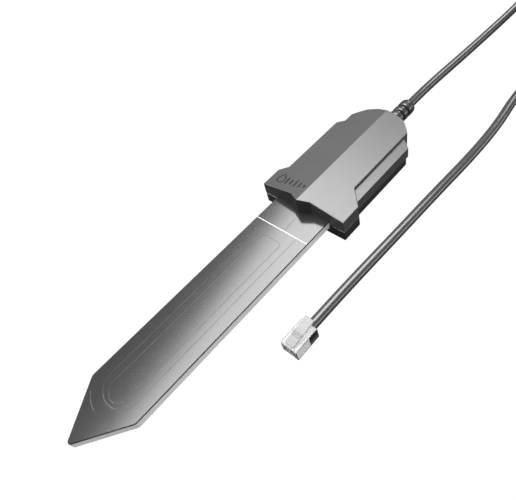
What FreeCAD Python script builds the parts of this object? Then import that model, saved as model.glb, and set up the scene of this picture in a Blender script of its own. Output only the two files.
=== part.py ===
import FreeCAD, Part
import math
import os
import re
import Sketcher
from FreeCAD import Placement, Rotation, Vector

# A soil moisture probe: a coated blade, a two-shell head and a lead that ends in a clear 4-way plug.
# +X runs from the blade's point to the lead, +Z is up, and z = 0 is the surface that it lies on.

doc = FreeCAD.newDocument("SoilProbe")
sheet = doc.addObject("Spreadsheet::Sheet", "Sizes")

sizes = {
    # blade
    "tipX": -108.0, "shoulderX": -86.0, "skinEndX": 31.0, "bladeHalf": 15.0,
    "midZ": 5.7, "skinThick": 3.8, "tipRadius": 1.5, "shoulderRadius": 3.0, "skinBevel": 0.35,
    "boardThick": 1.6, "boardHalf": 12.6, "boardTipX": -99.0, "boardShoulderX": -84.5, "boardEndX": 68.0,
    "notchLong": 5.0, "notchWide": 3.5, "jointSetback": 3.0, "jointPitch": 3.4,
    "copperThick": 0.1, "copperWide": 1.6, "copperCorner": 2.4, "innerHalf": 5.4, "outerHalf": 8.6,
    "lineX": 9.8, "lineWide": 0.35, "lineThick": 0.05,
    # head, plan view
    "prowX": 21.8, "prowHalf": 5.8, "frontX": 24.4, "earHalf": 23.0, "earRearX": 35.0,
    "beltHalf": 20.4, "baseHalf": 19.4, "baseBevel": 0.4, "beltEndX": 76.5, "roofX": 42.4, "roofHalf": 15.7,
    "roofEndX": 83.0, "cornerX": 85.0, "cornerHalf": 14.0, "rearX": 88.6, "rearHalf": 10.3,
    "backX": 90.4, "backHalf": 4.8,
    # head, section
    "ridgeZ": 15.7, "eavesZ": 11.9, "stripHighZ": 11.6, "stripLowZ": 11.0, "sealGap": 0.3, "edgeRound": 0.35,
    "cavityFrontX": 28.4, "cavityRearX": 77.0, "cavityHalf": 14.6, "cavityTopZ": 11.2, "cavityBotZ": 1.8,
    "cavityCorner": 2.4, "atticHalf": 11.0, "atticDrop": 2.6,
    "slotClear": 0.05, "gasketInset": 0.1, "sealX": 25.9, "sealHigh": 3.2, "sealLong": 1.8, "sealWall": 1.2,
    # fasteners
    "screwFrontX": 29.8, "screwFrontY": 19.0, "screwRearX": 83.2, "screwRearY": 10.4,
    "shankRadius": 1.0, "screwHeadRadius": 2.0, "screwHeadHigh": 1.4, "sinkDeep": 1.8, "sinkRadius": 2.2,
    "screwTopZ": 10.2, "shankClear": 0.2, "recessLong": 2.2, "recessWide": 0.5, "recessDeep": 0.8,
    # strain relief
    "reliefEndX": 108.9, "reliefRadius": 4.0, "reliefNeck": 3.1, "grooveDeep": 0.55, "grooveWide": 0.55,
    "ribPitch": 3.6, "ribRound": 0.22, "endRound": 1.1,
    "flangeRadius": 4.4, "flangeX": 80.0, "flangeWide": 2.4, "jacketStartX": 78.6,
    # lead
    "cordRadius": 2.2, "wireRadius": 0.5, "coilX": 237.0, "coilY": -28.8, "coilMid": 22.0, "layerRise": 3.81,
    "tieWide": 6.0, "tieThick": 0.5,
    # circuit
    "legWide": 0.4, "legLong": 1.0, "legThick": 0.3, "jointLowRadius": 1.1, "jointTopRadius": 0.6,
    "jointHigh": 0.6, "wireLift": 0.75,
    # plug
    "plugNoseX": -30.4, "plugLong": 12.3, "plugHalf": 3.825, "plugHigh": 6.0, "plugY": -38.6,
    "jacketLong": 5.0, "jacketHalf": 3.1, "jacketLowZ": 1.0, "jacketHighZ": 5.2, "contactPitch": 1.02,
    "noseBevel": 0.5, "wireZ": 3.05, "channelLowZ": 2.5, "channelHighZ": 3.6, "slotHalf": 0.25,
    "slotLong": 4.2, "contactLong": 3.6, "contactThick": 0.4, "contactLowZ": 0.35, "crimpLong": 2.6,
    "crimpHalf": 1.9, "crimpBack": 1.8, "jacketRound": 1.6,
    "latchHalf": 2.0, "latchThick": 0.8, "latchGap": 0.3, "latchLift": 2.1,
}
for row, (alias, size) in enumerate(sizes.items(), start=1):
    sheet.set(f"A{row}", alias)
    sheet.set(f"B{row}", str(size))
    sheet.setAlias(f"B{row}", alias)
doc.recompute()


def cell(expression):
    """The expression with each size's word turned into its cell."""
    return re.sub(r"\b([a-z][A-Za-z]+)\b", r"Sizes.\1", str(expression))


def number(expression):
    return float(sheet.evalExpression(cell(expression)))


def bind(thing, prop, expression):
    thing.setExpression(prop, cell(expression))


# Sketches -------------------------------------------------------------------------------------------

def newBody(label):
    body = doc.addObject("PartDesign::Body", label)
    body.Label = label
    return body


def newSketch(body, plane, name, lift=0):
    sketch = body.newObject("Sketcher::SketchObject", f"{body.Name}_{name}")
    flat = next(f for f in body.Origin.OriginFeatures if f.Role == plane)
    sketch.AttachmentSupport = (flat, [""])
    sketch.MapMode = "FlatFace"
    bind(sketch, ".AttachmentOffset.Base.z", lift)
    return sketch


def addPolygon(sketch, corners):
    """A closed outline, each corner held at a pair of expressions."""
    first = len(sketch.Geometry)
    spots = [Vector(number(a), number(b), 0) for a, b in corners]
    for i, spot in enumerate(spots):
        sketch.addGeometry(Part.LineSegment(spot, spots[(i + 1) % len(spots)]), False)
    for i, corner in enumerate(corners):
        after = first + (i + 1) % len(corners)
        sketch.addConstraint(Sketcher.Constraint("Coincident", first + i, 2, after, 1))
        for kind, expression in zip(("DistanceX", "DistanceY"), corner):
            held = Sketcher.Constraint(kind, -1, 1, first + i, 1, number(expression))
            bind(sketch, f"Constraints[{sketch.addConstraint(held)}]", expression)
    return sketch


def addBox(sketch, lowA, lowB, highA, highB):
    return addPolygon(sketch, [(lowA, lowB), (highA, lowB), (highA, highB), (lowA, highB)])


def addCircle(sketch, a, b, radius):
    centre = Vector(number(a), number(b), 0)
    index = sketch.addGeometry(Part.Circle(centre, Vector(0, 0, 1), number(radius)), False)
    for kind, expression in (("DistanceX", a), ("DistanceY", b)):
        held = Sketcher.Constraint(kind, -1, 1, index, 3, number(expression))
        bind(sketch, f"Constraints[{sketch.addConstraint(held)}]", expression)
    held = Sketcher.Constraint("Radius", index, number(radius))
    bind(sketch, f"Constraints[{sketch.addConstraint(held)}]", radius)
    return sketch


def bothSides(half):
    """A half outline with y above 0, and its mirror image walked back."""
    return half + [(a, f"-({b})") for a, b in reversed(half) if b != "0"]


# Features -------------------------------------------------------------------------------------------

def pad(body, sketch, length, twoWay=False):
    feature = body.newObject("PartDesign::Pad", f"{sketch.Name}_pad")
    feature.Profile = sketch
    bind(feature, "Length", length)
    feature.Midplane = twoWay
    doc.recompute()
    return feature


def pocket(body, sketch, length):
    """Cuts from the sketch's plane, along its normal."""
    before = body.Shape.Volume
    feature = body.newObject("PartDesign::Pocket", f"{sketch.Name}_cut")
    feature.Profile = sketch
    bind(feature, "Length", length)
    feature.Reversed = True
    doc.recompute()
    if body.Shape.Volume > before - 1e-6:
        raise RuntimeError(f"{sketch.Name} cuts nothing")
    return feature


def edgesWhere(feature, wanted):
    return [f"Edge{i}" for i, edge in enumerate(feature.Shape.Edges, start=1) if wanted(edge)]


def dress(body, kind, wanted, size):
    """A fillet or chamfer on the edges of the body's tip that pass a test."""
    base = body.Tip
    names = edgesWhere(base, wanted)
    if not names:
        raise RuntimeError(f"{body.Name} has no edge to {kind.lower()}")
    feature = body.newObject(f"PartDesign::{kind}", f"{base.Name}_{kind.lower()}")
    feature.Base = (base, names)
    bind(feature, "Radius" if kind == "Fillet" else "Size", size)
    doc.recompute()
    return feature


def upright(edge):
    low, high = edge.BoundBox.ZMin, edge.BoundBox.ZMax
    return edge.BoundBox.XLength < 1e-3 and edge.BoundBox.YLength < 1e-3 and high - low > 1e-3


def level(edge, z):
    return edge.BoundBox.ZLength < 1e-3 and abs(edge.BoundBox.ZMin - z) < 1e-3


def turned(body, sketch):
    """Turns a sketch once round its first construction line."""
    feature = body.newObject("PartDesign::Revolution", f"{sketch.Name}_turn")
    feature.Profile = sketch
    feature.ReferenceAxis = (sketch, ["Axis0"])
    doc.recompute()
    return feature


def addAxis(sketch, start, end):
    spots = [Vector(number(a), number(b), 0) for a, b in (start, end)]
    index = sketch.addGeometry(Part.LineSegment(*spots), True)
    for place, corner in ((1, start), (2, end)):
        for kind, expression in zip(("DistanceX", "DistanceY"), corner):
            held = Sketcher.Constraint(kind, -1, 1, index, place, number(expression))
            bind(sketch, f"Constraints[{sketch.addConstraint(held)}]", expression)


def boundBox(name, length, width, height, x, y, z):
    """A Part box with its lowest corner at x, y, z."""
    box = doc.addObject("Part::Box", name)
    for prop, expression in (
        ("Length", length), ("Width", width), ("Height", height),
        (".Placement.Base.x", x), (".Placement.Base.y", y), (".Placement.Base.z", z),
    ):
        bind(box, prop, expression)
    return box


def boundGroup(label, kind, members):
    group = doc.addObject(kind, label)
    group.Label = label
    if kind == "Part::Compound":
        group.Links = members
    else:
        group.Shapes = members
    doc.recompute()
    return group


# Outlines -------------------------------------------------------------------------------------------

def bladeOutline(tip, shoulder, end, half):
    return bothSides([(tip, "0"), (shoulder, half), (end, half)])


roofOutline = bothSides([
    ("prowX", "0"), ("frontX", "prowHalf"), ("frontX", "earHalf"), ("earRearX", "earHalf"),
    ("roofX", "roofHalf"), ("roofEndX", "roofHalf"), ("cornerX", "cornerHalf"),
    ("rearX", "rearHalf"), ("backX", "backHalf"),
])


def beltOutline(half, inset="0"):
    """The ears and the belt behind them, closed by the roof's rear corners."""
    diagonal = "(roofX - earRearX) / (earHalf - roofHalf)"
    return bothSides([
        (f"frontX + {inset}", f"earHalf - {inset}"),
        (f"earRearX - {inset} * 0.4", f"earHalf - {inset}"),
        (f"earRearX + (earHalf - {half}) * {diagonal} - {inset} * 0.4", f"{half} - {inset}"),
        (f"beltEndX - {inset} * 0.6", f"{half} - {inset}"),
        (f"beltEndX + (beltHalf - roofHalf) * 0.8 - {inset} * 0.6", f"roofHalf - {inset}"),
        (f"roofEndX - {inset} * 0.4", f"roofHalf - {inset}"),
        (f"cornerX - {inset} * 0.7", f"cornerHalf - {inset} * 0.7"),
        (f"rearX - {inset} * 0.8", f"rearHalf - {inset} * 0.6"),
        (f"backX - {inset}", f"backHalf - {inset} * 0.4"),
    ])


def cavityOutline():
    return bothSides([
        ("cavityFrontX", "cavityHalf"), ("cavityRearX - cavityCorner", "cavityHalf"),
        ("cavityRearX", "cavityHalf - cavityCorner"),
    ])


screwPlaces = [("screwFrontX", "screwFrontY"), ("screwFrontX", "-screwFrontY"),
               ("screwRearX", "screwRearY"), ("screwRearX", "-screwRearY")]


# Blade ----------------------------------------------------------------------------------------------

def makeBladeSkin():
    body = newBody("blade_skin")
    outline = newSketch(body, "XY_Plane", "outline", "midZ - skinThick / 2")
    addPolygon(outline, bladeOutline("tipX", "shoulderX", "skinEndX", "bladeHalf"))
    pad(body, outline, "skinThick")
    for place, radius in (("tipX", "tipRadius"), ("shoulderX", "shoulderRadius")):
        spot = number(place)
        dress(body, "Fillet", lambda e: upright(e) and abs(e.BoundBox.XMin - spot) < 0.1, radius)
    topZ = number("midZ + skinThick / 2")
    lowZ = number("midZ - skinThick / 2")
    endX = number("skinEndX - 0.1")
    rims = lambda e: (level(e, topZ) or level(e, lowZ)) and e.BoundBox.XMin < endX
    dress(body, "Chamfer", rims, "skinBevel")
    core = newSketch(body, "XY_Plane", "core", "midZ - boardThick / 2")
    addPolygon(core, bladeOutline("boardTipX", "boardShoulderX", "skinEndX + 1", "boardHalf"))
    pocket(body, core, "boardThick + copperThick")
    return body


def makeBladeBoard():
    body = newBody("blade_board")
    outline = newSketch(body, "XY_Plane", "outline", "midZ - boardThick / 2")
    addPolygon(outline, bladeOutline("boardTipX", "boardShoulderX", "boardEndX", "boardHalf"))
    pad(body, outline, "boardThick")
    notch = newSketch(body, "XY_Plane", "notch", "midZ - boardThick / 2")
    addBox(notch, "boardEndX - notchLong", "boardHalf - notchWide", "boardEndX + 1", "boardHalf + 1")
    pocket(body, notch, "boardThick")
    return body


def makeElectrode(label, tip, half, end):
    """A flat copper loop on the board's top face."""
    body = newBody(label)
    loop = newSketch(body, "XY_Plane", "loop", "midZ + boardThick / 2")
    addPolygon(loop, bothSides([
        (tip, f"{half} - copperCorner"), (f"{tip} + copperCorner", half), (end, half),
    ]))
    addPolygon(loop, bothSides([
        (f"{tip} + copperWide", f"{half} - copperCorner - copperWide * 0.4"),
        (f"{tip} + copperCorner + copperWide * 0.4", f"{half} - copperWide"),
        (f"{end} - copperWide", f"{half} - copperWide"),
    ]))
    pad(body, loop, "copperThick")
    return body


def makeDepthLine():
    """The printed line that marks how deep the blade goes into the soil."""
    body = newBody("depth_line")
    stripe = newSketch(body, "XY_Plane", "stripe", "midZ + skinThick / 2")
    reach = "bladeHalf - skinBevel"
    addBox(stripe, "lineX - lineWide / 2", f"-({reach})", "lineX + lineWide / 2", reach)
    pad(body, stripe, "lineThick")
    return body


# Head -----------------------------------------------------------------------------------------------

def cutScrewHoles(body, radius, fromZ, deep):
    holes = newSketch(body, "XY_Plane", f"holes{len(body.Group)}", fromZ)
    for x, y in screwPlaces:
        addCircle(holes, x, y, radius)
    pocket(body, holes, deep)


def cutReliefSeat(body):
    """The neck's round seat through the rear wall, with a wider slot that holds its flange."""
    for name, radius, start, wide in (
        ("neck", "reliefNeck", "cavityRearX - 0.5", "backX - cavityRearX + 1"),
        ("flange", "flangeRadius", "flangeX", "flangeWide"),
    ):
        seat = newSketch(body, "YZ_Plane", f"{name}_seat", start)
        addCircle(seat, "0", "midZ", radius)
        pocket(body, seat, wide)


def cutBladeMouth(body, fromZ, deep):
    """The blade's way in through the front wall, and the groove that holds its seal."""
    mouth = newSketch(body, "XY_Plane", "mouth", fromZ)
    addBox(mouth, "prowX - 1", "-(bladeHalf + slotClear)", "skinEndX + slotClear", "bladeHalf + slotClear")
    pocket(body, mouth, deep)
    groove = newSketch(body, "YZ_Plane", "groove", "sealX")
    addBox(groove, "-(bladeHalf + sealWall)", "midZ - sealHigh", "bladeHalf + sealWall", "midZ + sealHigh")
    pocket(body, groove, "sealLong")


def makeTopCover():
    body = newBody("top_cover")
    seam = "midZ + sealGap / 2"
    belt = newSketch(body, "XY_Plane", "belt", seam)
    addPolygon(belt, beltOutline("beltHalf"))
    pad(body, belt, f"stripHighZ - ({seam})")
    slopes = newSketch(body, "YZ_Plane", "slopes", "frontX - 1")
    stripSlope = "(stripHighZ - stripLowZ) / (beltHalf - roofHalf)"
    outerZ = f"stripHighZ - {stripSlope} * (earHalf + 1 - roofHalf)"
    for sign in ("", "-"):
        addPolygon(slopes, [
            (f"{sign}(roofHalf)", "stripHighZ"), (f"{sign}(roofHalf)", "stripHighZ + 1"),
            (f"{sign}(earHalf + 1)", "stripHighZ + 1"), (f"{sign}(earHalf + 1)", outerZ),
        ])
    pocket(body, slopes, "backX - frontX + 3")
    roof = newSketch(body, "XY_Plane", "roof", seam)
    addPolygon(roof, roofOutline)
    pad(body, roof, f"ridgeZ + 1 - ({seam})")
    gable = newSketch(body, "YZ_Plane", "gable", "prowX - 1")
    lowest = "ridgeZ - (ridgeZ - eavesZ) * (earHalf + 1) / earHalf"
    addPolygon(gable, [
        ("0", "ridgeZ"), ("earHalf + 1", lowest), ("earHalf + 1", "ridgeZ + 2"),
        ("-(earHalf + 1)", "ridgeZ + 2"), ("-(earHalf + 1)", lowest),
    ])
    pocket(body, gable, "backX - prowX + 3")
    ridge = number("ridgeZ")
    slope = number("(ridgeZ - eavesZ) / earHalf")

    def roofEdge(edge):
        onRoof = all(abs(ridge - slope * abs(v.Y) - v.Z) < 1e-3 for v in edge.Vertexes)
        alongRidge = abs(edge.CenterOfMass.y) < 1e-3
        return onRoof and not alongRidge

    dress(body, "Fillet", roofEdge, "edgeRound")
    cavity = newSketch(body, "XY_Plane", "cavity", seam)
    addPolygon(cavity, cavityOutline())
    pocket(body, cavity, f"cavityTopZ - atticDrop - ({seam})")
    attic = newSketch(body, "XY_Plane", "attic", seam)
    addBox(attic, "cavityFrontX", "-atticHalf", "cavityRearX - 4", "atticHalf")
    pocket(body, attic, f"cavityTopZ - ({seam})")
    cutBladeMouth(body, seam, f"midZ + skinThick / 2 + slotClear - ({seam})")
    cutScrewHoles(body, "shankRadius", seam, f"screwTopZ + 0.4 - ({seam})")
    cutReliefSeat(body)
    return body


def makeBottomCover():
    body = newBody("bottom_cover")
    seam = "midZ - sealGap / 2"
    base = newSketch(body, "XY_Plane", "base", 0)
    addPolygon(base, beltOutline("baseHalf"))
    pad(body, base, seam)
    dress(body, "Chamfer", lambda e: level(e, 0), "baseBevel")
    topZ = number(seam)
    dress(body, "Chamfer", lambda e: level(e, topZ), "edgeRound * 0.7")
    cavity = newSketch(body, "XY_Plane", "cavity", "cavityBotZ")
    addPolygon(cavity, cavityOutline())
    pocket(body, cavity, f"{seam} - cavityBotZ")
    cutBladeMouth(body, "midZ - skinThick / 2 - slotClear", "skinThick")
    cutScrewHoles(body, "shankRadius + shankClear", "0", seam)
    cutScrewHoles(body, "sinkRadius", "0", "sinkDeep")
    cutReliefSeat(body)
    return body


def makeCoverGasket():
    body = newBody("cover_gasket")
    ring = newSketch(body, "XY_Plane", "ring", "midZ - sealGap / 2")
    addPolygon(ring, beltOutline("baseHalf", "gasketInset"))
    addPolygon(ring, cavityOutline())
    pad(body, ring, "sealGap")
    gap = newSketch(body, "XY_Plane", "gap", "midZ - sealGap / 2")
    besideBlade = "bladeHalf + sealWall + 0.1"
    addBox(gap, "frontX - 1", f"-({besideBlade})", "skinEndX + 1", besideBlade)
    besideRelief = "flangeRadius + 0.1"
    addBox(gap, "cavityRearX - 0.1", f"-({besideRelief})", "backX + 1", besideRelief)
    pocket(body, gap, "sealGap")
    cutScrewHoles(body, "shankRadius + shankClear", "midZ - sealGap / 2", "sealGap")
    return body


def makeBladeSeal():
    """A rubber collar round the blade, just behind the front wall."""
    body = newBody("blade_seal")
    frame = newSketch(body, "YZ_Plane", "frame", "sealX")
    addBox(frame, "-(bladeHalf + sealWall)", "midZ - sealHigh", "bladeHalf + sealWall", "midZ + sealHigh")
    addBox(frame, "-bladeHalf", "midZ - skinThick / 2", "bladeHalf", "midZ + skinThick / 2")
    pad(body, frame, "sealLong")
    return body


def makeStrainRelief():
    body = newBody("strain_relief")
    profile = newSketch(body, "XZ_Plane", "profile")
    addAxis(profile, ("0", "midZ"), ("10", "midZ"))
    outline = [
        ("jacketStartX + 0.6", "cordRadius"), ("jacketStartX + 0.6", "reliefNeck"),
        ("flangeX", "reliefNeck"), ("flangeX", "flangeRadius"),
        ("flangeX + flangeWide", "flangeRadius"), ("flangeX + flangeWide", "reliefNeck"),
        ("backX + 0.05", "reliefNeck"), ("backX + 0.05", "reliefRadius"),
    ]
    for rib in range(4):
        start = f"reliefEndX - 3 - ribPitch * {3 - rib}"
        floor = "reliefRadius - grooveDeep"
        outline += [
            (start, "reliefRadius"), (start, floor),
            (f"{start} + grooveWide", floor), (f"{start} + grooveWide", "reliefRadius"),
        ]
    outline += [("reliefEndX", "reliefRadius"), ("reliefEndX", "cordRadius")]
    addPolygon(profile, [(a, f"midZ + {b}") for a, b in outline])
    turned(body, profile)
    radius = number("reliefRadius")
    end = number("reliefEndX")

    def outerRim(edge):
        box = edge.BoundBox
        return box.XLength < 1e-3 and abs(box.YMax - radius) < 1e-3

    dress(body, "Fillet", lambda e: outerRim(e) and e.BoundBox.XMin < end - 1, "ribRound")
    dress(body, "Fillet", lambda e: outerRim(e) and e.BoundBox.XMin > end - 1, "endRound")
    return body


def makeCoverScrews():
    """Four self-tapping screws with cross recesses, driven from below."""
    screws = []
    for i, (x, y) in enumerate(screwPlaces):
        head = doc.addObject("Part::Cylinder", f"screw_head_{i}")
        shank = doc.addObject("Part::Cone", f"screw_shank_{i}")
        bind(head, "Radius", "screwHeadRadius")
        bind(head, "Height", "screwHeadHigh")
        bind(shank, "Radius1", "shankRadius")
        bind(shank, "Radius2", "shankRadius * 0.8")
        bind(shank, "Height", "screwTopZ - sinkDeep")
        for piece, z in ((head, "sinkDeep - screwHeadHigh"), (shank, "sinkDeep")):
            for axis, place in (("x", x), ("y", y), ("z", z)):
                bind(piece, f".Placement.Base.{axis}", place)
        whole = boundGroup(f"screw_whole_{i}", "Part::MultiFuse", [head, shank])
        arms = []
        for name, long, wide in (("a", "recessLong", "recessWide"), ("b", "recessWide", "recessLong")):
            arms.append(boundBox(
                f"recess_{name}_{i}", long, wide, "recessDeep",
                f"{x} - {long} / 2", f"{y} - {wide} / 2", "sinkDeep - screwHeadHigh"))
        cross = boundGroup(f"recess_{i}", "Part::MultiFuse", arms)
        cut = doc.addObject("Part::Cut", f"screw_{i}")
        cut.Base = whole
        cut.Tool = cross
        screws.append(cut)
    return boundGroup("cover_screws", "Part::Compound", screws)


def makeCableJacketEnd():
    """The lead's jacket inside the strain relief, up to where its four wires come out."""
    jacket = doc.addObject("Part::Cylinder", "cable_jacket_end")
    bind(jacket, "Radius", "cordRadius")
    bind(jacket, "Height", "reliefEndX - jacketStartX")
    jacket.Placement = Placement(Vector(), Rotation(Vector(0, 1, 0), 90))
    bind(jacket, ".Placement.Base.x", "jacketStartX")
    bind(jacket, ".Placement.Base.z", "midZ")
    return jacket


# Circuit --------------------------------------------------------------------------------------------

boardTop = "midZ + boardThick / 2"


def makeChip(label, x, y, long, wide, high, legs, pitch):
    """A moulded package with flat legs along its two long sides."""
    corner = (f"{x} - {long} / 2", f"{y} - {wide} / 2", f"{boardTop} + 0.1")
    members = [boundBox(f"{label}_case", long, wide, high, *corner)]
    for side, sign in (("left", 1), ("right", -1)):
        for leg in range(legs):
            shift = (leg - (legs - 1) / 2) * pitch
            near = f"{y} + {sign} * ({wide} / 2 + 0.3) - legLong / 2"
            members.append(boundBox(
                f"{label}_{side}_leg_{leg}", "legWide", "legLong", "legThick",
                f"{x} + {shift:.3f} - legWide / 2", near, boardTop))
    return boundGroup(label, "Part::MultiFuse", members)


def makeRow(label, places, long, wide, high):
    members = [
        boundBox(f"{label}_{i}", long, wide, high, f"{x} - {long} / 2", f"{y} - {wide} / 2", boardTop)
        for i, (x, y) in enumerate(places)
    ]
    return boundGroup(label, "Part::Compound", members)


def makeSolderJoints():
    joints = []
    for i in range(4):
        joint = doc.addObject("Part::Cone", f"joint_{i}")
        bind(joint, "Radius1", "jointLowRadius")
        bind(joint, "Radius2", "jointTopRadius")
        bind(joint, "Height", "jointHigh")
        places = ("boardEndX - jointSetback", f"{i - 1.5} * jointPitch", boardTop)
        for axis, place in zip("xyz", places):
            bind(joint, f".Placement.Base.{axis}", place)
        joints.append(joint)
    return boundGroup("solder_joints", "Part::Compound", joints)


# Cords ----------------------------------------------------------------------------------------------

def pathOf(points, share=0.45):
    """Straight runs joined by tangent arcs, each as large as its two runs allow, and the arcs' radii."""
    edges = []
    radii = []
    at = points[0]
    for before, corner, after in zip(points, points[1:], points[2:]):
        back = (before - corner).normalize()
        ahead = (after - corner).normalize()
        trim = share * min((corner - before).Length, (after - corner).Length)
        turn = math.pi - back.getAngle(ahead)
        radii.append(trim / math.tan(turn / 2))
        start = corner + back * trim
        end = corner + ahead * trim
        inward = (back + ahead).normalize()
        depth = radii[-1] / math.cos(turn / 2) - radii[-1]
        edges.append(Part.LineSegment(at, start).toShape())
        edges.append(Part.Arc(start, corner + inward * depth, end).toShape())
        at = end
    edges.append(Part.LineSegment(at, points[-1]).toShape())
    return Part.Wire(edges), radii


def makeTube(label, route, radius):
    points = [Vector(*spot) for spot in route]
    path, radii = pathOf(points)
    heading = points[1] - points[0]
    ring = Part.Wire([Part.Circle(points[0], heading, radius).toShape()])
    solid = path.makePipeShell([ring], True, False)
    expected = math.pi * radius**2 * path.Length
    print(f"{label}: {path.Length:.1f} mm, radii {[round(r) for r in radii]}, "
          f"volume {solid.Volume / expected:.4f} of section times length")
    feature = doc.addObject("Part::Feature", label)
    feature.Label = label
    feature.Shape = solid
    return feature


def makeCoverWires():
    """Four wires from the jacket's end down to their solder joints."""
    wires = []
    jacketX = number("jacketStartX")
    endX = number("boardEndX - jointSetback")
    midZ = number("midZ")
    topZ = number(f"{boardTop} + wireLift + wireRadius")
    for i, label in enumerate(("red_wire", "black_wire", "yellow_wire", "green_wire")):
        near = (i - 1.5) * number("contactPitch")
        far = (i - 1.5) * number("jointPitch")
        wires.append(makeTube(label, [
            (jacketX, near, midZ), (jacketX - 2.8, near, midZ), (jacketX - 6.5, far * 0.75, topZ + 1.1),
            (endX + 2.6, far * 0.97, topZ + 0.5), (endX - 0.3, far, topZ),
        ], number("wireRadius")))
    return wires


leadRoute = [
    (108.9, 0.0, 5.7), (120.0, 0.1, 5.6), (137.0, 0.3, 4.4), (160.0, 0.1, 2.6),
    (184.0, -1.0, 2.25), (209.0, -2.2, 2.25), (233.0, -2.4, 2.25),
]
returnRoute = [
    (223.0, -53.0, 6.0), (208.0, -52.8, 5.7), (190.0, -50.0, 3.0), (172.0, -44.0, 2.25), (155.0, -39.6, 2.25),
    (138.0, -39.6, 2.25), (118.0, -42.0, 2.25), (94.0, -42.3, 2.25), (66.0, -40.9, 2.25), (40.0, -40.0, 2.25),
    (20.0, -39.2, 2.25), (-2.0, -38.5, 2.4), (-18.1, -38.6, 3.1),
]


def placeAtCoil(body):
    bind(body, ".Placement.Base.x", "coilX")
    bind(body, ".Placement.Base.y", "coilY")
    doc.recompute()


def makeCoilTie():
    """A flat tie in a closed loop round the far side of the coil."""
    body = newBody("coil_tie")
    loop = newSketch(body, "XZ_Plane", "loop")
    reach = "3 * cordRadius"
    high = "2 * cordRadius + layerRise"
    addBox(loop, f"coilMid - {reach} - tieThick", "0", f"coilMid + {reach} + tieThick", f"{high} + tieThick")
    addBox(loop, f"coilMid - {reach}", "tieThick", f"coilMid + {reach}", high)
    pad(body, loop, "tieWide", twoWay=True)
    placeAtCoil(body)
    return body


def makeCableCoil(tie):
    """The outer shape of the wound turns: a ring with a rounded section, notched where the tie passes."""
    ring = newBody("coil_ring")
    section = newSketch(ring, "XZ_Plane", "section")
    addAxis(section, ("0", "0"), ("0", "10"))
    reach = "3 * cordRadius"
    addBox(section, f"coilMid - {reach}", "0", f"coilMid + {reach}", "2 * cordRadius + layerRise")
    turned(ring, section)
    dress(ring, "Fillet", lambda e: e.BoundBox.ZLength < 1e-3 and len(e.Vertexes) < 2, "cordRadius * 0.9")
    placeAtCoil(ring)
    coil = doc.addObject("Part::Cut", "cable_coil")
    coil.Base = ring
    coil.Tool = tie
    doc.recompute()
    return coil


# Plug -----------------------------------------------------------------------------------------------

def makePlugHousing():
    body = newBody("plug_housing")
    block = newSketch(body, "XY_Plane", "block", 0)
    addBox(block, "plugNoseX", "plugY - plugHalf", "plugNoseX + plugLong", "plugY + plugHalf")
    pad(body, block, "plugHigh")
    nose = number("plugNoseX + 0.1")
    high = number("plugHigh")
    dress(body, "Chamfer", lambda e: e.BoundBox.XMax < nose and level(e, high), "noseBevel")
    entry = newSketch(body, "YZ_Plane", "entry", "plugNoseX + plugLong - jacketLong")
    addBox(entry, "plugY - jacketHalf", "jacketLowZ", "plugY + jacketHalf", "jacketHighZ")
    pocket(body, entry, "jacketLong")
    channel = newSketch(body, "YZ_Plane", "channel", "plugNoseX + 1")
    addBox(channel, "plugY - contactPitch * 2", "channelLowZ", "plugY + contactPitch * 2", "channelHighZ")
    pocket(body, channel, "plugLong - jacketLong - 1")
    slots = newSketch(body, "XY_Plane", "slots", 0)
    for way in range(4):
        centre = f"plugY + {way - 1.5} * contactPitch"
        addBox(slots, "plugNoseX - 1", f"{centre} - slotHalf", "plugNoseX + slotLong", f"{centre} + slotHalf")
    pocket(body, slots, "channelLowZ")
    crimp = newSketch(body, "XY_Plane", "crimp", 0)
    crimpEnd = "plugNoseX + plugLong - crimpBack"
    addBox(crimp, f"{crimpEnd} - crimpLong", "plugY - crimpHalf", crimpEnd, "plugY + crimpHalf")
    pocket(body, crimp, "jacketLowZ")
    return body


def makePlugJacketEnd():
    """The flattened end of the lead's jacket, gripped in the plug's rear."""
    body = newBody("plug_jacket_end")
    block = newSketch(body, "YZ_Plane", "block", "plugNoseX + plugLong - jacketLong")
    addBox(block, "plugY - jacketHalf", "jacketLowZ", "plugY + jacketHalf", "jacketHighZ")
    pad(body, block, "jacketLong")
    dress(body, "Fillet", lambda e: e.BoundBox.YLength < 1e-3 and e.BoundBox.ZLength < 1e-3, "jacketRound")
    return body


def makePlugContacts():
    contacts = []
    for way in range(4):
        y = f"plugY + {way - 1.5} * contactPitch - contactThick / 2"
        contacts.append(boundBox(
            f"contact_blade_{way}", "contactLong", "contactThick", "channelLowZ - contactLowZ",
            "plugNoseX + 0.35", y, "contactLowZ"))
    return boundGroup("plug_contacts", "Part::Compound", contacts)


def makePlugWires():
    wires = []
    for way, colour in enumerate(("red", "black", "yellow", "green")):
        wire = doc.addObject("Part::Cylinder", f"{colour}_plug_wire")
        wire.Label = f"{colour}_plug_wire"
        bind(wire, "Radius", "wireRadius")
        bind(wire, "Height", "plugLong - jacketLong - 1.3")
        wire.Placement = Placement(Vector(), Rotation(Vector(0, 1, 0), 90))
        places = ("plugNoseX + 1.3", f"plugY + {way - 1.5} * contactPitch", "wireZ")
        for axis, place in zip("xyz", places):
            bind(wire, f".Placement.Base.{axis}", place)
        wires.append(wire)
    return wires


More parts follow.
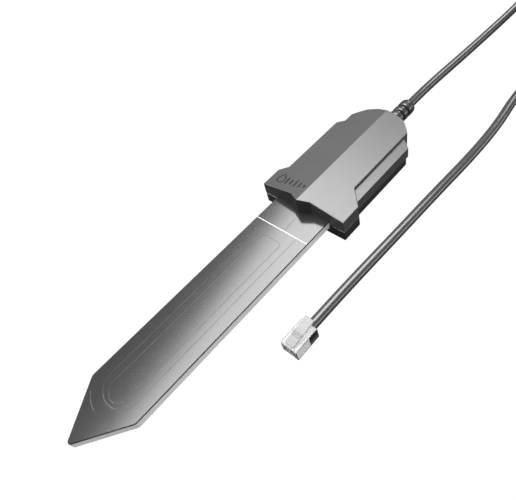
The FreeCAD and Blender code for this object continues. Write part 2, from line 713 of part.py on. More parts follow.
def makePlugLatch():
    """A springy tongue that rises from the nose to the rear, with a lock step each side."""
    body = newBody("plug_latch")
    side = newSketch(body, "XZ_Plane", "side", "-plugY")
    low = "plugHigh + latchGap"
    addPolygon(side, [
        ("plugNoseX + 0.7", low), ("plugNoseX + 2", low),
        ("plugNoseX + plugLong + 0.9", f"{low} + latchLift - 0.2"),
        ("plugNoseX + plugLong + 0.9", f"{low} + latchLift + latchThick - 0.2"),
        ("plugNoseX + 6.4", f"{low} + latchLift * 0.42 + latchThick"),
        ("plugNoseX + 6.1", f"{low} + latchLift * 0.42 + latchThick + 0.5"),
        ("plugNoseX + 4.2", f"{low} + latchLift * 0.2 + latchThick + 0.3"),
        ("plugNoseX + 0.7", f"{low} + latchThick"),
    ])
    pad(body, side, "2 * latchHalf", twoWay=True)
    return body


# Build ----------------------------------------------------------------------------------------------

capacitorPlaces = [("37", "6"), ("37", "9"), ("52.5", "7.6"), ("57", "-4"), ("62", "-9.4")]
resistorPlaces = [(f"{40.5 + 2.6 * i:.1f}", "-9.5") for i in range(6)]
coilTie = makeCoilTie()
nodes = [
    makeBladeSkin(),
    makeBladeBoard(),
    makeElectrode("sensing_electrode", "boardShoulderX + 3", "innerHalf", "frontX - 18"),
    makeElectrode("guard_electrode", "boardShoulderX - 2", "outerHalf", "frontX + 2"),
    makeDepthLine(),
    makeTopCover(),
    makeBottomCover(),
    makeCoverGasket(),
    makeBladeSeal(),
    makeStrainRelief(),
    makeCoverScrews(),
    makeCableJacketEnd(),
    makeChip("controller_chip", "46", "0", "8.7", "3.9", "1.5", 7, 1.27),
    makeChip("oscillator_chip", "37.5", "-5.5", "3", "4.4", "1", 4, 0.65),
    makeChip("voltage_regulator", "57", "-7", "2.9", "1.6", "1.1", 2, 1.9),
    makeRow("chip_capacitors", capacitorPlaces, "2", "1.25", "1"),
    makeRow("chip_resistors", resistorPlaces, "0.8", "1.6", "0.5"),
    makeRow("protection_diode", [("57.6", "6.4")], "2.8", "1.6", "1.1"),
    makeSolderJoints(),
    *makeCoverWires(),
    makeTube("cable_lead", leadRoute, number("cordRadius")),
    makeCableCoil(coilTie),
    coilTie,
    makeTube("cable_return", returnRoute, number("cordRadius")),
    makePlugHousing(),
    makePlugJacketEnd(),
    makePlugContacts(),
    *makePlugWires(),
    makePlugLatch(),
]
doc.recompute()

failed = [thing.Name for thing in doc.Objects if "Invalid" in thing.State or "Error" in thing.State]
if failed:
    raise RuntimeError(f"these did not compute: {failed}")
os.makedirs("parts", exist_ok=True)
for node in nodes:
    shape = node.Shape
    if shape.isNull() or not shape.isValid() or not shape.Solids:
        raise RuntimeError(f"{node.Label} has no valid solid")
    shape.exportStep(f"parts/{node.Label}.step")
    box = shape.BoundBox
    spans = ", ".join(
        f"{low:.2f}..{high:.2f}"
        for low, high in ((box.XMin, box.XMax), (box.YMin, box.YMax), (box.ZMin, box.ZMax)))
    print(f"{node.Label}: {len(shape.Solids)} solid(s), {shape.Volume:.1f} mm3, {spans}")
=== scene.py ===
import math

import bmesh
import bpy
from mathutils import Matrix, Vector


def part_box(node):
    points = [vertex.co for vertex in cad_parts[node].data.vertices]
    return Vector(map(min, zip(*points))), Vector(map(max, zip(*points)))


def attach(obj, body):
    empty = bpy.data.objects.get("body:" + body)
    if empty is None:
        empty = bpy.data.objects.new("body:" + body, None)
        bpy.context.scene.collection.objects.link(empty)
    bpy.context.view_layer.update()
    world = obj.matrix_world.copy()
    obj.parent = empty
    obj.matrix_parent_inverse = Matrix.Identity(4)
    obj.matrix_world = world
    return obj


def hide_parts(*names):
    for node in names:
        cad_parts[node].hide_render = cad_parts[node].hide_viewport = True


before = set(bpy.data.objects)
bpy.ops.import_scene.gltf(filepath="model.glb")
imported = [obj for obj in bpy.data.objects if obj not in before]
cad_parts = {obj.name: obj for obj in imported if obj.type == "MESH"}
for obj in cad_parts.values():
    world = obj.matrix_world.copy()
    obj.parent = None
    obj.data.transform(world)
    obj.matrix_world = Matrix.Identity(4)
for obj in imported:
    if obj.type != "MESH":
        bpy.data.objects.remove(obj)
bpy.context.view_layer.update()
print("frame loaded:", len(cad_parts), "nodes")

scene = bpy.context.scene
mm = 0.001


# camera

cameraSet = {
    "place": (-0.07113, -0.11081, 0.16223),
    "right": (0.66811, -0.70942, -0.22441),
    "up": (0.66644, 0.43641, 0.60449),
    "back": (-0.33090, -0.55342, 0.76435),
    "lens": 32.88,
    "sensor": 36.0,
    "near": 0.01,
    "far": 20,
}


def makeCamera(values):
    data = bpy.data.cameras.new("camera")
    data.lens = values["lens"]
    data.sensor_width = values["sensor"]
    data.clip_start = values["near"]
    data.clip_end = values["far"]
    camera = bpy.data.objects.new("camera", data)
    scene.collection.objects.link(camera)
    turn = Matrix((values["right"], values["up"], values["back"])).transposed()
    camera.matrix_world = Matrix.Translation(values["place"]) @ turn.to_4x4()
    scene.camera = camera


makeCamera(cameraSet)


# lead

lead = {
    "diameter": 4.4 * mm,
    "length": 1.0,
    # from the strain relief to the coil, and from the coil back to the plug, in metres
    "out": [
        (0.1089, 0.0000, 0.0057), (0.1200, 0.0001, 0.0056), (0.1370, 0.0003, 0.0044),
        (0.1600, 0.0001, 0.0026), (0.1840, -0.0010, 0.00225), (0.2090, -0.0022, 0.00225),
        (0.2330, -0.0024, 0.00225),
    ],
    "home": [
        (0.2230, -0.0530, 0.0060), (0.2080, -0.0528, 0.0057), (0.1900, -0.0500, 0.0030),
        (0.1720, -0.0440, 0.00225), (0.1550, -0.0396, 0.00225), (0.1380, -0.0396, 0.00225),
        (0.1180, -0.0420, 0.00225), (0.0940, -0.0423, 0.00225), (0.0660, -0.0409, 0.00225),
        (0.0400, -0.0400, 0.00225), (0.0200, -0.0392, 0.00225), (-0.0020, -0.0385, 0.0024),
        (-0.0181, -0.0386, 0.0031),
    ],
    "coilCentre": (0.2370, -0.0288),
    "pointsPerTurn": 24,
    "lowTurns": [26.4 * mm, 22.0 * mm, 17.6 * mm],   # radius of each turn on the floor, outside in
    "highTurns": [19.8 * mm, 24.2 * mm],             # the turns that lie on them, inside out
    "lowZ": 2.25 * mm,
    "highZ": 6.02 * mm,
    "crossover": 0.25,                               # share of a turn taken to shift to the next
    "turns": 4.5,
    "roundSteps": 6,
    "longSteps": 8,
}


def ease(t):
    t = min(max(t, 0.0), 1.0)
    return t * t * (3 - 2 * t)


def coilPoints(values):
    # turns side by side on the floor, then a second layer in the grooves between them
    radii = values["lowTurns"] + values["highTurns"]
    heights = [values["lowZ"]] * len(values["lowTurns"]) + [values["highZ"]] * len(values["highTurns"])
    radii.append(radii[-1])
    heights.append(heights[-1])
    cx, cy = values["coilCentre"]
    points = []
    steps = int(values["turns"] * values["pointsPerTurn"])
    for step in range(1, steps):
        t = step / values["pointsPerTurn"]
        turn = int(t)
        shift = ease((t - turn - 1 + values["crossover"]) / values["crossover"])
        radius = radii[turn] + (radii[turn + 1] - radii[turn]) * shift
        height = heights[turn] + (heights[turn + 1] - heights[turn]) * shift
        angle = math.pi / 2 - 2 * math.pi * t
        points.append((cx + radius * math.cos(angle), cy + radius * math.sin(angle), height))
    return points


def makeCord(name, points, values):
    curve = bpy.data.curves.new(name, "CURVE")
    curve.dimensions = "3D"
    curve.bevel_depth = 1.0                          # each point's radius gives the thickness
    curve.bevel_resolution = values["roundSteps"]
    curve.resolution_u = values["longSteps"]
    curve.use_fill_caps = True
    spline = curve.splines.new("NURBS")
    spline.points.add(len(points) - 1)
    for point, spot in zip(spline.points, points):
        point.co = (*spot, 1.0)
        point.radius = values["diameter"] / 2
    spline.order_u = 3
    spline.use_endpoint_u = True
    cord = bpy.data.objects.new(name, curve)
    scene.collection.objects.link(cord)
    return cord


leadCable = makeCord("lead_cable", lead["out"] + coilPoints(lead) + lead["home"], lead)
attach(leadCable, "probe")
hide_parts("cable_lead", "cable_coil", "cable_return")
print("lead laid")


# raised lines on the blade and the mark on the head

traces = {
    "width": 0.36 * mm,
    "crest": 0.6,                                    # share of the width that is flat on top
    "height": 0.05 * mm,
    "sink": 0.02 * mm,                               # how far the feet reach into the surface
    # half width, where the round tip starts and how far it reaches, and the end under the head; a corner of 0
    # leaves that end open
    "outer": {"half": 9.0 * mm, "tipX": -81.0 * mm, "tipReach": 7.6 * mm, "endX": 9.2 * mm, "corner": 0.0},
    "inner": {"half": 5.4 * mm, "tipX": -81.5 * mm, "tipReach": 5.4 * mm, "endX": 3.8 * mm, "corner": 2.0 * mm},
    "link": [(10.8 * mm, -1.6 * mm), (14.0 * mm, -1.2 * mm), (18.0 * mm, -0.9 * mm)],
    "edge": [(-90.0 * mm, 10.0 * mm), (-91.8 * mm, 7.2 * mm), (-93.0 * mm, 4.6 * mm), (-93.4 * mm, 2.3 * mm)],
    "tipSteps": 28,
    "cornerSteps": 5,
}


def loopPath(values):
    # a long loop: half an ellipse round the tip, straight sides and two rounded corners
    half, corner, steps = values["half"], values["corner"], traces["cornerSteps"]
    path = []
    for step in range(traces["tipSteps"] + 1):
        angle = math.pi / 2 + math.pi * step / traces["tipSteps"]
        path.append((values["tipX"] + values["tipReach"] * math.cos(angle), half * math.sin(angle)))
    if not corner:                                   # open at the head end
        return [(values["endX"], half)] + path + [(values["endX"], -half)]
    for sign, start in ((-1, -math.pi / 2), (1, 0.0)):
        centre = (values["endX"] - corner, sign * (half - corner))
        for step in range(steps + 1):
            angle = start + math.pi / 2 * step / steps
            path.append((centre[0] + corner * math.cos(angle), centre[1] + corner * math.sin(angle)))
    return path


def newPiece(name, verts, faces, smooth=False):
    mesh = bpy.data.meshes.new(name)
    mesh.from_pydata(verts, [], faces)
    shape = bmesh.new()
    shape.from_mesh(mesh)
    bmesh.ops.recalc_face_normals(shape, faces=shape.faces)
    for face in shape.faces:
        face.smooth = smooth
    shape.to_mesh(mesh)
    shape.free()
    piece = bpy.data.objects.new(name, mesh)
    scene.collection.objects.link(piece)
    return piece


def makeRibbon(name, path, values, level, closed):
    # a low raised line with sloped sides that follows a flat path
    count = len(path)
    verts, faces = [], []
    for i, (x, y) in enumerate(path):
        before = path[(i - 1) % count] if closed or i else path[i]
        after = path[(i + 1) % count] if closed or i < count - 1 else path[i]
        along = Vector((after[0] - before[0], after[1] - before[1])).normalized()
        across = Vector((-along.y, along.x))
        for share, height in ((-0.5, -values["sink"]), (-values["crest"] / 2, values["height"]),
                              (values["crest"] / 2, values["height"]), (0.5, -values["sink"])):
            spot = Vector((x, y)) + across * values["width"] * share
            verts.append((spot.x, spot.y, level + height))
    for i in range(count if closed else count - 1):
        here, there = 4 * i, 4 * ((i + 1) % count)
        for k in range(4):
            m = (k + 1) % 4
            faces.append((here + k, there + k, there + m, here + m))
    if not closed:
        faces += [(0, 1, 2, 3), tuple(4 * (count - 1) + k for k in range(4))]
    return newPiece(name, verts, faces)


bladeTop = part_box("blade_skin")[1][2]
ribbons = [
    makeRibbon("trace_line_outer", loopPath(traces["outer"]), traces, bladeTop, False),
    makeRibbon("trace_line_inner", loopPath(traces["inner"]), traces, bladeTop, True),
    makeRibbon("trace_line_link", traces["link"], traces, bladeTop, False),
    makeRibbon("trace_line_edge", traces["edge"], traces, bladeTop, False),
]
for ribbon in ribbons:
    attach(ribbon, "probe")

mark = {
    "place": (30.2 * mm, 9.6 * mm),       # middle of the mark, on the roof's left slope
    "roofFall": 3.8 * mm,                 # the roof falls this much from ridge to eaves
    "roofHalf": 23.0 * mm,                # over this half width
    "width": 0.62 * mm,
    "barWidth": 1.2 * mm,
    "crest": 0.6,
    "height": 0.12 * mm,
    "sink": 0.05 * mm,
    "dropRadius": 2.1 * mm,
    "dropTip": 3.6 * mm,
    "dropShift": 7.0 * mm,
    "dropSteps": 20,
    "dropOpening": 40,                    # degrees on each side of the tip that the round part leaves out
    # place across the head and length of each bar
    "bars": [(-3.2 * mm, 4.0 * mm), (-0.6 * mm, 2.8 * mm), (2.0 * mm, 4.0 * mm), (4.6 * mm, 2.8 * mm),
             (7.2 * mm, 1.8 * mm)],
}


def roofHeight(y, values):
    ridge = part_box("top_cover")[1][2]
    return ridge - abs(y) * values["roofFall"] / values["roofHalf"]


def makeMark(values):
    # an outlined water drop and a few bars, laid on the slope
    drop, steps, opening = [], values["dropSteps"], values["dropOpening"]
    for step in range(steps):
        angle = math.radians(opening + (360 - 2 * opening) * step / (steps - 1))
        drop.append((values["dropRadius"] * math.cos(angle), values["dropRadius"] * math.sin(angle)))
    drop.append((values["dropTip"], 0.0))
    pieces = [makeRibbon("mark_drop", [(x, y + values["dropShift"]) for x, y in drop], values, 0.0, True)]
    for i, (y, reach) in enumerate(values["bars"]):
        line = [(-reach / 2, -y), (0.0, -y), (reach / 2, -y)]
        pieces.append(makeRibbon(f"mark_bar_{i + 1}", line, dict(values, width=values["barWidth"]), 0.0, False))
    cx, cy = values["place"]
    for piece in pieces:
        for vert in piece.data.vertices:
            y = cy + vert.co.y
            vert.co = Vector((cx + vert.co.x, y, roofHeight(y, values) + vert.co.z))
    return pieces


markPieces = makeMark(mark)
for piece in markPieces:
    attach(piece, "probe")
print("raised lines and mark made")


# strain relief and coil strap

relief = {
    "axisZ": 5.7 * mm,
    "around": 56,
    # distance along the lead and radius, from inside the head to the soft end, in millimetres
    "neck": [(79.2, 2.3), (79.2, 3.3), (79.6, 3.5), (80.4, 4.3), (82.2, 4.3), (82.8, 3.6)],
    "ribs": [(91.2, 4.0), (95.2, 4.0), (99.2, 3.97)],      # start and top radius of each rib
    "ribLong": 4.0,
    "ribShares": [0.02, 0.08, 0.2, 0.35, 0.5, 0.65, 0.8, 0.92, 0.98],
    "ribEdge": 0.5,                       # a rib's edges are this much lower than its middle
    "ribFlat": 6,                         # a higher power keeps the middle flat for longer
    "grooveWide": 0.75,
    "grooveRadius": 3.0,
    "end": [(103.2, 3.0), (103.95, 3.0), (104.05, 3.7), (104.4, 3.9), (105.2, 3.95), (107.0, 3.95),
            (108.1, 3.85), (108.8, 3.55), (109.15, 3.1), (109.3, 2.6), (109.3, 2.25)],
}


def reliefProfile(values):
    profile = list(values["neck"])
    for start, top in values["ribs"]:
        low, floor = values["grooveRadius"], values["grooveWide"]
        long = values["ribLong"] - floor
        profile += [(start, low), (start + floor, low)]
        for share in values["ribShares"]:
            lift = 1 - abs(2 * share - 1) ** values["ribFlat"] * values["ribEdge"]
            profile.append((start + floor + long * share, low + (top - low) * lift))
    return profile + values["end"]


def makeRelief(values):
    profile, around = reliefProfile(values), values["around"]
    verts, faces = [], []
    for x, radius in profile:
        for k in range(around):
            angle = 2 * math.pi * k / around
            verts.append((x * mm, radius * mm * math.cos(angle), values["axisZ"] + radius * mm * math.sin(angle)))
    for i in range(len(profile)):
        j = (i + 1) % len(profile)
        for k in range(around):
            m = (k + 1) % around
            faces.append((i * around + k, j * around + k, j * around + m, i * around + m))
    return newPiece("relief_sleeve", verts, faces, True)


reliefSleeve = makeRelief(relief)
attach(reliefSleeve, "probe")
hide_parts("strain_relief")

strap = {
    "thick": 0.45 * mm,
    "corner": 3.4 * mm,
    "cornerSteps": 8,
    "crown": 0.12 * mm,                   # the band's middle stands this much proud of its edges
    "across": 7,
}


def roundedPath(lowX, highX, lowZ, highZ, corner, steps):
    path = []
    for cx, cz, start in ((highX - corner, highZ - corner, 0.0), (lowX + corner, highZ - corner, 0.5),
                          (lowX + corner, lowZ + corner, 1.0), (highX - corner, lowZ + corner, 1.5)):
        for step in range(steps + 1):
            angle = math.pi * (start + 0.5 * step / steps)
            path.append((cx + corner * math.cos(angle), cz + corner * math.sin(angle),
                         math.cos(angle), math.sin(angle)))
    return path


def makeStrap(values):
    low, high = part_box("coil_tie")
    thick, across = values["thick"], values["across"]
    path = roundedPath(low[0] + thick, high[0] - thick, low[2] + thick, high[2] - thick,
                       values["corner"], values["cornerSteps"])
    verts, faces = [], []
    for x, z, nx, nz in path:
        section = []
        for k in range(across):
            share = k / (across - 1)
            bulge = values["crown"] * (1 - (2 * share - 1) ** 2)
            section.append((low[1] + (high[1] - low[1]) * share, thick - values["crown"] + bulge))
        section += [(y, 0.0) for y, _ in reversed(section)]
        verts += [(x + nx * lift, y, z + nz * lift) for y, lift in section]
    size = 2 * across
    for i in range(len(path)):
        j = (i + 1) % len(path)
        for k in range(size):
            m = (k + 1) % size
            faces.append((i * size + k, j * size + k, j * size + m, i * size + m))
    return newPiece("coil_strap", verts, faces, True)


coilStrap = makeStrap(strap)
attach(coilStrap, "probe")
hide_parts("coil_tie")
print("relief and strap made")


# shader wiring

flatLean = 0.5                        # a face counts as flat when its normal points up or down by more than this
frontLean = 0.7                       # and as a front face when it points to the blade's end by more than this


class Wire:
    # a socket that can stand in a sum; without one, the start of a node tree
    def __init__(self, tree, socket=None):
        self.tree = tree
        self.socket = socket

    def node(self, kind, settings=None, sockets=None, output=0):
        added = self.tree.nodes.new(kind)
        for name, value in (settings or {}).items():
            setattr(added, name, value)
        for name, value in (sockets or {}).items():
            if isinstance(value, Wire):
                self.tree.links.new(value.socket, added.inputs[name])
            else:
                added.inputs[name].default_value = value
        return Wire(self.tree, added.outputs[output] if added.outputs else None)

    def sum(self, operation, first, second):
        return self.node("ShaderNodeMath", {"operation": operation}, {0: first, 1: second})

    def __add__(self, other):
        return self.sum("ADD", self, other)

    __radd__ = __add__

    def __sub__(self, other):
        return self.sum("SUBTRACT", self, other)

    def __rsub__(self, other):
        return self.sum("SUBTRACT", other, self)

    def __mul__(self, other):
        return self.sum("MULTIPLY", self, other)

    __rmul__ = __mul__

    def __truediv__(self, other):
        return self.sum("DIVIDE", self, other)

    def __gt__(self, other):
        return self.sum("GREATER_THAN", self, other)

    def __abs__(self):
        return self.sum("ABSOLUTE", self, 0.0)

    def mix(self, first, second):
        # this value blends one colour into another
        return self.node("ShaderNodeMix", {"data_type": "RGBA"}, {0: self, 6: first, 7: second}, 2)

    def noise(self, scale, detail=2.0, stretch=(1, 1, 1)):
        where = self.node("ShaderNodeTexCoord", output="Object")
        spread = self.node("ShaderNodeMapping", sockets={"Vector": where, "Scale": stretch})
        return self.node("ShaderNodeTexNoise", sockets={"Vector": spread, "Scale": scale, "Detail": detail})

    def facing(self, letter):
        normal = self.node("ShaderNodeNewGeometry", output="True Normal")
        return self.node("ShaderNodeSeparateXYZ", sockets={"Vector": normal}, output=letter)

    def upright(self):
        # 1 on faces that stand up, 0 on faces that look up or down
        return 1 - (abs(self.facing("Z")) > flatLean)

    def exceptFront(self):
        # 0 on faces that look towards the blade's point, 1 on the others
        return self.facing("X") > -frontLean

    def axis(self, letter):
        where = self.node("ShaderNodeTexCoord", output="Object")
        return self.node("ShaderNodeSeparateXYZ", sockets={"Vector": where}, output=letter)


def grey(value, tint=(1, 1, 1)):
    return (value * tint[0], value * tint[1], value * tint[2], 1.0)


def newMaterial(name):
    material = bpy.data.materials.new(name)
    material.use_nodes = True
    material.node_tree.nodes.clear()
    return material, Wire(material.node_tree)


def closeMaterial(wires, fixed, varying, bump=None, deep=0.0):
    # constants sit on the shader's own sockets; only what changes over the surface is wired
    sockets = dict(fixed)
    sockets.update(varying)
    if bump is not None:
        sockets["Normal"] = wires.node("ShaderNodeBump", sockets={
            "Height": bump, "Distance": deep, "Strength": 1.0})
    shader = wires.node("ShaderNodeBsdfPrincipled", sockets=sockets)
    wires.node("ShaderNodeOutputMaterial", sockets={"Surface": shader})


plainFinish = {                                      # what a finish has unless it says otherwise
    "tint": (1, 1, 1),
    "vary": 0.12,                                    # the colour clouds by this share each way
    "cloudScale": 60,
    "cloudDetail": 3.0,
    "grainScale": 3000,
    "grainDetail": 2.0,
    "grainDeep": 0.01 * mm,
    "stretch": (1, 1, 1),
    "swell": 0.5,                                    # a coarser bump under the grain, this strong
    "swellScale": 4,                                 # and this much finer than the clouds
    "glossVary": 0.08,
    "ior": 1.5,
    "metal": 0.0,
    # the tone of the painted shade in grooves
    "grooveTone": 0.002,
}


def speckled(name, finish):
    # a moulded, painted or rubber surface: clouded colour, uneven gloss and a fine grain
    values = {**plainFinish, **finish}
    material, wires = newMaterial(name)
    cloud = wires.noise(values["cloudScale"], values["cloudDetail"])
    grain = wires.noise(values["grainScale"], values["grainDetail"], values["stretch"])
    tint, vary = values["tint"], values["vary"]
    colour = cloud.mix(grey(values["tone"] * (1 - vary), tint), grey(values["tone"] * (1 + vary), tint))
    # painted shade: darkens the grooves of the relief
    if "groove" in values:                           # dark below this radius from the lead's axis
        axisZ, radius = values["groove"]
        rise = wires.axis("Z") - axisZ
        outside = (wires.axis("Y") * wires.axis("Y") + rise * rise) > radius * radius
        colour = outside.mix(grey(values["grooveTone"]), colour)
    if "sideTone" in values:                         # upright faces are another colour
        colour = wires.upright().mix(colour, grey(values["sideTone"], tint))
    # painted shade: faces that look towards the blade's point are darkened
    if "frontShadeTone" in values:                        # the end under the blade is darker
        colour = wires.exceptFront().mix(grey(values["frontShadeTone"], tint), colour)
    gloss = values["rough"] + (grain - 0.5) * values["glossVary"]
    swell = wires.noise(values["cloudScale"] * values["swellScale"]) * values["swell"]
    closeMaterial(wires, {"IOR": values["ior"], "Metallic": values["metal"]},
                  {"Base Color": colour, "Roughness": gloss}, grain + swell, values["grainDeep"])
    return material


def paint(node, material):
    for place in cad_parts[node].material_slots:
        place.material = material


finishes = {
    "blade": {"tone": 0.02, "sideTone": 0.85, "rough": 0.15, "ior": 1.6, "grainScale": 1500,
              "grainDeep": 0.0006 * mm, "stretch": (0.3, 1, 1), "cloudScale": 25, "glossVary": 0.05},
    "trace": {"tone": 0.026, "rough": 0.24, "ior": 1.6, "grainScale": 3000, "grainDeep": 0.002 * mm},
    "mark": {"tone": 0.004, "rough": 0.5, "ior": 1.4, "grainScale": 4000, "grainDeep": 0.004 * mm},
    # shell and base: the darker faces towards the blade's point are painted shade, as in a recess
    "shell": {"tone": 0.05, "frontShadeTone": 0.012, "rough": 0.32, "ior": 1.6, "grainScale": 4000,
              "grainDeep": 0.012 * mm},
    "base": {"tone": 0.020, "frontShadeTone": 0.003, "rough": 0.42, "ior": 1.45, "grainScale": 4000,
             "grainDeep": 0.012 * mm},
    "gasket": {"tone": 0.5, "rough": 0.7, "grainScale": 2500, "grainDeep": 0.01 * mm},
    "seal": {"tone": 0.02, "rough": 0.6, "grainScale": 2500, "grainDeep": 0.01 * mm},
    # painted shade: the relief's grooves are darkened below 3.6 mm from the lead's axis
    "relief": {"tone": 0.03, "rough": 0.24, "ior": 1.55, "grainScale": 3000, "grainDeep": 0.002 * mm,
               "groove": (relief["axisZ"], 3.6 * mm)},
    "cord": {"tone": 0.04, "rough": 0.20, "ior": 1.6, "grainScale": 2500, "grainDeep": 0.0015 * mm,
             "cloudScale": 200, "glossVary": 0.04},
    "print": {"tone": 0.55, "rough": 0.5, "grainScale": 5000, "grainDeep": 0.004 * mm, "vary": 0.05},
    "steel": {"tone": 0.55, "rough": 0.3, "metal": 1.0, "grainScale": 3000, "stretch": (1, 0.1, 1),
              "grainDeep": 0.004 * mm},
    "copper": {"tone": 0.7, "tint": (1, 0.58, 0.4), "rough": 0.35, "metal": 1.0, "grainScale": 2000,
               "grainDeep": 0.005 * mm},
    "gold": {"tone": 0.45, "tint": (1, 0.80, 0.50), "rough": 0.25, "metal": 1.0, "grainScale": 2500,
             "grainDeep": 0.003 * mm},
    "solder": {"tone": 0.7, "rough": 0.25, "metal": 1.0, "grainScale": 1800, "grainDeep": 0.01 * mm},
    "ceramic": {"tone": 0.5, "tint": (1, 0.74, 0.48), "rough": 0.5, "grainScale": 5000},
    "resistor": {"tone": 0.04, "rough": 0.35, "grainScale": 5000},
    "red": {"tone": 0.5, "tint": (1, 0.05, 0.04), "rough": 0.3, "grainScale": 3000, "grainDeep": 0.004 * mm},
    "black": {"tone": 0.02, "rough": 0.3, "grainScale": 3000, "grainDeep": 0.004 * mm},
    "yellow": {"tone": 0.7, "tint": (1, 0.7, 0.05), "rough": 0.3, "grainScale": 3000, "grainDeep": 0.004 * mm},
    "green": {"tone": 0.3, "tint": (0.12, 1, 0.2), "rough": 0.3, "grainScale": 3000, "grainDeep": 0.004 * mm},
    "strap": {"tone": 0.03, "rough": 0.8, "grainScale": 4000, "grainDeep": 0.05 * mm},
}

worn = {                                             # finish of each piece that comes from the frame
    "blade_skin": "blade", "depth_line": "print", "top_cover": "shell", "bottom_cover": "base",
    "cover_gasket": "gasket", "blade_seal": "seal", "strain_relief": "relief", "cover_screws": "steel",
    "sensing_electrode": "copper", "guard_electrode": "copper", "plug_contacts": "gold",
    "solder_joints": "solder", "chip_capacitors": "ceramic", "chip_resistors": "resistor",
    "red_wire": "red", "black_wire": "black", "yellow_wire": "yellow", "green_wire": "green",
    "red_plug_wire": "red", "black_plug_wire": "black", "yellow_plug_wire": "yellow",
    "green_plug_wire": "green", "cable_jacket_end": "cord", "plug_jacket_end": "cord", "coil_tie": "strap",
}

boardFinish = {
    "mask": (0.012, 0.075, 0.040, 1.0),
    "track": (0.030, 0.150, 0.070, 1.0),
    "pitch": 1.6 * mm,                               # from track to track
    "share": 0.35,                                   # of the pitch that a track takes
    "wander": 1.2,                                   # in pitches
    "wanderScale": 70,
    "trackHigh": 0.03 * mm,
    "rough": 0.28,
    "glossVary": 0.1,
    "glossScale": 900,
    "ior": 1.5,
}

chipFinish = {
    "case": 0.016,
    "lead": 0.62,
    "vary": 0.2,
    "caseRough": 0.55,
    "leadRough": 0.28,
    "glossVary": 0.06,
    "grainScale": 6000,
    "grainDeep": 0.01 * mm,
    "ior": 1.5,
    # direction in which the leads stick out, and where they start as a share of the half width
    "leads": {"controller_chip": ("Y", 0.74), "oscillator_chip": ("Y", 0.72), "voltage_regulator": ("Y", 0.66),
              "protection_diode": ("X", 0.80)},
}


def solderMask(values):
    # green mask with raised copper tracks that run along the blade
    material, wires = newMaterial("board")
    wander = wires.noise(values["wanderScale"], 1.0) * values["wander"]
    step = wires.axis("Y") / values["pitch"] + wander
    track = 1 - (step.sum("FRACT", step, 0.0) > values["share"])
    colour = track.mix(values["mask"], values["track"])
    gloss = values["rough"] + (wires.noise(values["glossScale"]) - 0.5) * values["glossVary"]
    closeMaterial(wires, {"IOR": values["ior"]}, {"Base Color": colour, "Roughness": gloss},
                  track, values["trackHigh"])
    return material


def packaged(node, values):
    # a dull moulded case with tinned leads
    material, wires = newMaterial(node + "_package")
    letter, share = values["leads"][node]
    low, high = (Vector(corner)["XYZ".index(letter)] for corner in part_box(node))
    lead = abs(wires.axis(letter) - (low + high) / 2) > (high - low) / 2 * share
    grain = wires.noise(values["grainScale"])
    cloud = grain.mix(grey(values["case"] * (1 - values["vary"])), grey(values["case"] * (1 + values["vary"])))
    metalGloss = lead * (values["leadRough"] - values["caseRough"])
    gloss = values["caseRough"] + metalGloss + (grain - 0.5) * values["glossVary"]
    closeMaterial(wires, {"IOR": values["ior"]}, {
        "Base Color": lead.mix(cloud, grey(values["lead"])), "Roughness": gloss, "Metallic": lead},
        grain, values["grainDeep"])
    return material


materials = {}


def finished(finish):
    # each finish is made once
    if finish not in materials:
        materials[finish] = speckled(finish, finishes[finish])
    return materials[finish]


for node, finish in worn.items():
    paint(node, finished(finish))
for pieces, finish in (([leadCable], "cord"), ([reliefSleeve], "relief"), ([coilStrap], "strap"),
                       (ribbons, "trace"), (markPieces, "mark")):
    for piece in pieces:
        piece.data.materials.append(finished(finish))

clearFinish = {
    # cover: how much a face that looks down hides, and what upright and top faces add to that
    # jacketFrom: where the jacket starts, as a share of the housing's length from the nose
    # upright faces painted lighter than the top are painted light; the darker rim and foot are painted shade
    "housing": {"tone": 0.30, "sideTone": 1.0, "rimShadeTone": 0.06, "rim": 0.26 * mm, "foot": 0.52 * mm,
                "rough": 0.2, "cover": (0.08, 0.72, 0.74), "jacketFrom": 0.6, "jacketTone": 0.006,
                "noseTone": 0.10},
    "latch": {"tone": 0.20, "sideTone": 0.35, "rimShadeTone": 0.08, "rim": 0.12 * mm, "foot": 0.24 * mm,
              "rough": 0.35, "cover": (0.20, 0.40, 0.65)},
    "flow": {"scale": 350, "thin": 0.9, "thick": 1.08, "glossVary": 0.05, "deep": 0.002 * mm, "ior": 1.45},
}


def clear(name, node, values, flowing):
    # milky see-through plastic, with painted shade along the edges of its box and at its foot, and painted light
    # on its upright faces
    material, wires = newMaterial(name)
    low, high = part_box(node)
    near = []
    for letter, start, end in zip("XYZ", low, high):
        inside = (end - start) / 2 - abs(wires.axis(letter) - (start + end) / 2)
        near.append(1 - (inside > values["rim"]))
    foot = 1 - (wires.axis("Z") - low[2] > values["foot"])
    shadedEdges = (near[0] * near[1] + near[1] * near[2] + near[2] * near[0] + foot) > 0.5
    flow = wires.noise(flowing["scale"])
    cloud = flow.mix(grey(values["tone"] * flowing["thin"]), grey(values["tone"] * flowing["thick"]))
    # painted light: upright faces are lighter than the top and bottom
    colour = wires.upright().mix(cloud, grey(values["sideTone"]))
    if "jacketFrom" in values:                       # the cord's jacket shows through the sides at the back
        start = low[0] + (high[0] - low[0]) * values["jacketFrom"]
        behind = (wires.axis("X") > start) * wires.upright()
        colour = behind.mix(colour, grey(values["jacketTone"]))
        colour = wires.exceptFront().mix(grey(values["noseTone"]), colour)
    # painted shade along the box's edges and at its foot
    colour = shadedEdges.mix(colour, grey(values["rimShadeTone"]))
    under, upright, over = values["cover"]
    cover = under + wires.upright() * upright + (wires.facing("Z") > flatLean) * over
    gloss = values["rough"] + (flow - 0.5) * flowing["glossVary"]
    closeMaterial(wires, {"IOR": flowing["ior"]}, {"Base Color": colour, "Roughness": gloss, "Alpha": cover},
                  flow, flowing["deep"])
    return material


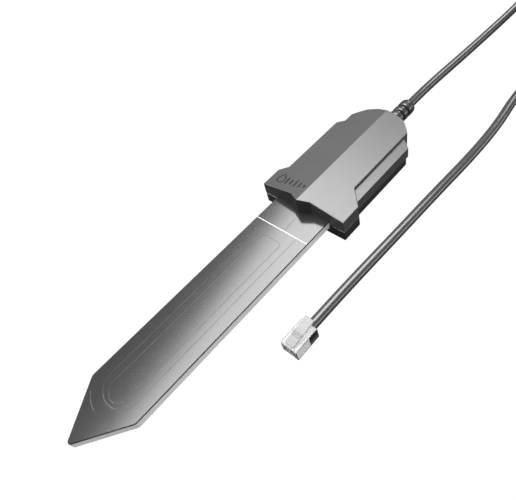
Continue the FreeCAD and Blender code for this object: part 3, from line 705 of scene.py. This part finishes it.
paint("blade_board", solderMask(boardFinish))
for node in chipFinish["leads"]:
    paint(node, packaged(node, chipFinish))
paint("plug_housing", clear("clear_housing", "plug_housing", clearFinish["housing"], clearFinish["flow"]))
paint("plug_latch", clear("clear_latch", "plug_latch", clearFinish["latch"], clearFinish["flow"]))
print("finishes on")


# backdrop and lights

stage = {
    "backdrop": {"glow": 1.04, "reach": 6.0, "around": 48, "rise": 10, "below": 0.2 * mm, "rough": 0.9},
    "worldTone": 0.14,
    # name, place, direction of its light, direction of its width, width, depth, radiance
    "softboxes": [
        ("overhead", (0.253, 0.242, 1.0), (0, 0, -1), (0.987, 0.162, 0), 1.09, 0.90, 10.5),
        ("rear", (1.22, 0.10, 0.68), (-0.85, -0.1, -0.52), (0, 1, 0), 0.34, 0.36, 8.0),
        ("side", (0.60, -1.00, 0.15), (0, 1, -0.13), (1, 0, 0), 1.9, 0.3, 4.4),
        ("front", (-0.80, 0.50, 0.22), (0.8, -0.5, -0.2), (0.5, 0.8, 0), 0.7, 0.3, 18.0),
    ],
}


def makeBackdrop(values):
    # a round floor that runs up into a dome, white from every side
    reach, around, rise = values["reach"], values["around"], values["rise"]
    verts, faces = [(0.0, 0.0, 0.0)], []
    for ring in range(rise):
        angle = math.pi / 2 * ring / rise
        radius, height = reach * math.cos(angle), reach * math.sin(angle)
        for k in range(around):
            turn = 2 * math.pi * k / around
            verts.append((radius * math.cos(turn), radius * math.sin(turn), height))
    verts.append((0.0, 0.0, reach))
    for k in range(around):
        following = (k + 1) % around
        faces.append((0, 1 + k, 1 + following))
        for ring in range(rise - 1):
            low, high = 1 + ring * around, 1 + (ring + 1) * around
            faces.append((low + k, high + k, high + following, low + following))
        faces.append((1 + (rise - 1) * around + k, len(verts) - 1, 1 + (rise - 1) * around + following))
    mesh = bpy.data.meshes.new("backdrop")
    mesh.from_pydata(verts, [], faces)
    backdrop = bpy.data.objects.new("backdrop", mesh)
    backdrop.location.z = -values["below"]
    backdrop.visible_glossy = False                  # no mirror image of white paper in the glossy blade
    backdrop.visible_diffuse = False
    backdrop.visible_shadow = False                  # the softboxes and the sky shine through the dome
    scene.collection.objects.link(backdrop)
    material, wires = newMaterial("backdrop_paper")
    closeMaterial(wires, {"Base Color": grey(0.0), "Roughness": values["rough"], "Specular IOR Level": 0.0,
                          "Emission Color": grey(1.0), "Emission Strength": values["glow"]}, {})
    mesh.materials.append(material)


def makeSoftbox(name, place, aim, along, width, depth, radiance):
    data = bpy.data.lights.new(name, "AREA")
    data.shape = "RECTANGLE"
    data.size = width
    data.size_y = depth
    data.energy = radiance * math.pi * width * depth
    light = bpy.data.objects.new(name, data)
    back = -Vector(aim).normalized()
    side = Vector(along).normalized()
    turn = Matrix((side, back.cross(side), back)).transposed()
    light.matrix_world = Matrix.Translation(place) @ turn.to_4x4()
    scene.collection.objects.link(light)


def makeWorld(tone):
    world = bpy.data.worlds.new("studio")
    world.use_nodes = True
    background = world.node_tree.nodes["Background"]
    background.inputs["Color"].default_value = grey(1.0)
    background.inputs["Strength"].default_value = tone
    scene.world = world


makeBackdrop(stage["backdrop"])
makeWorld(stage["worldTone"])
for softbox in stage["softboxes"]:
    makeSoftbox(*softbox)
scene.view_settings.view_transform = "Standard"
print("stage set")
